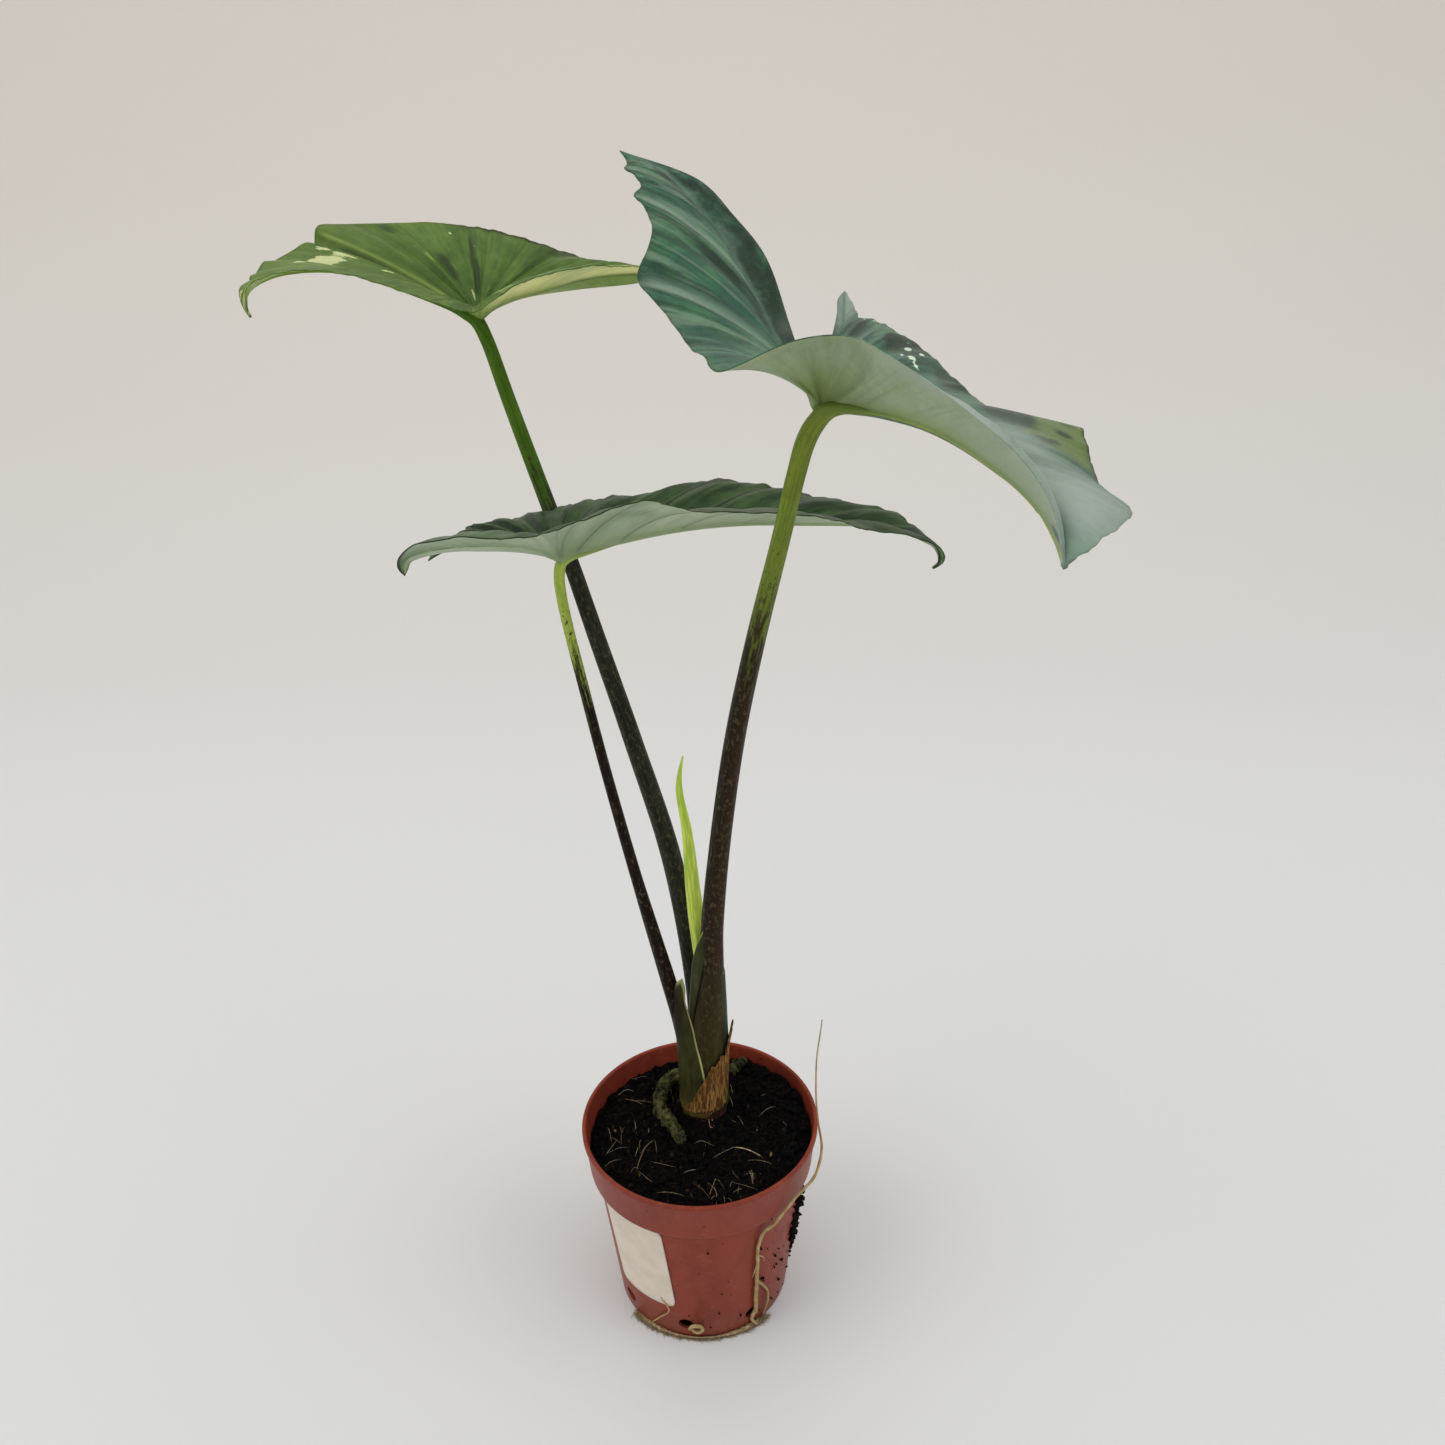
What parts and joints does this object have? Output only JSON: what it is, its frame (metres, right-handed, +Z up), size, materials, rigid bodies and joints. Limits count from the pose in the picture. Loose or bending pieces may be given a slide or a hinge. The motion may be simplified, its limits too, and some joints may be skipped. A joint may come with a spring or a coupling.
{
  "type": "potted variegated simpo alocasia",
  "caption": "Young alocasia with arrow-shaped variegated leaves on long curved stalks, rooted in dark soil in a brick-red nursery pot with a blank white sticker.",
  "frame": {"origin": "middle of the pot's flat foot, on the surface that the pot stands on", "axes": "+Z up the pot's axis, -Y towards the side that the plant leans to, +X to the right when looking along +Y"},
  "size_m": [0.2947, 0.3566, 0.5684],
  "materials": {
    "pot_plastic": "satin, scuffed with dry soil",
    "label_film": "satin",
    "soil": "rough, fibrous",
    "front_leaf": "waxy, variegated",
    "tall_leaf": "waxy, variegated",
    "low_leaf": "waxy",
    "leaf_stalk": "satin, streaked",
    "young_leaf": "waxy",
    "dry_sheath": "papery, streaked",
    "moss": "velvety",
    "dry_root": "matte, fibrous"
  },
  "bodies": {
    "root": {"pot": "pot_plastic", "soil": "soil", "label": "label_film", "front_stalk": "leaf_stalk", "tall_stalk": "leaf_stalk", "low_stalk": "leaf_stalk", "front_blade": "front_leaf", "tall_blade": "tall_leaf", "low_blade": "low_leaf", "new_leaf": "young_leaf", "papery_sheath": "dry_sheath", "mossy_root": "moss", "mossy_nub": "moss", "outside_root": "dry_root", "root_mat": "dry_root"}
  },
  "joints": []
}
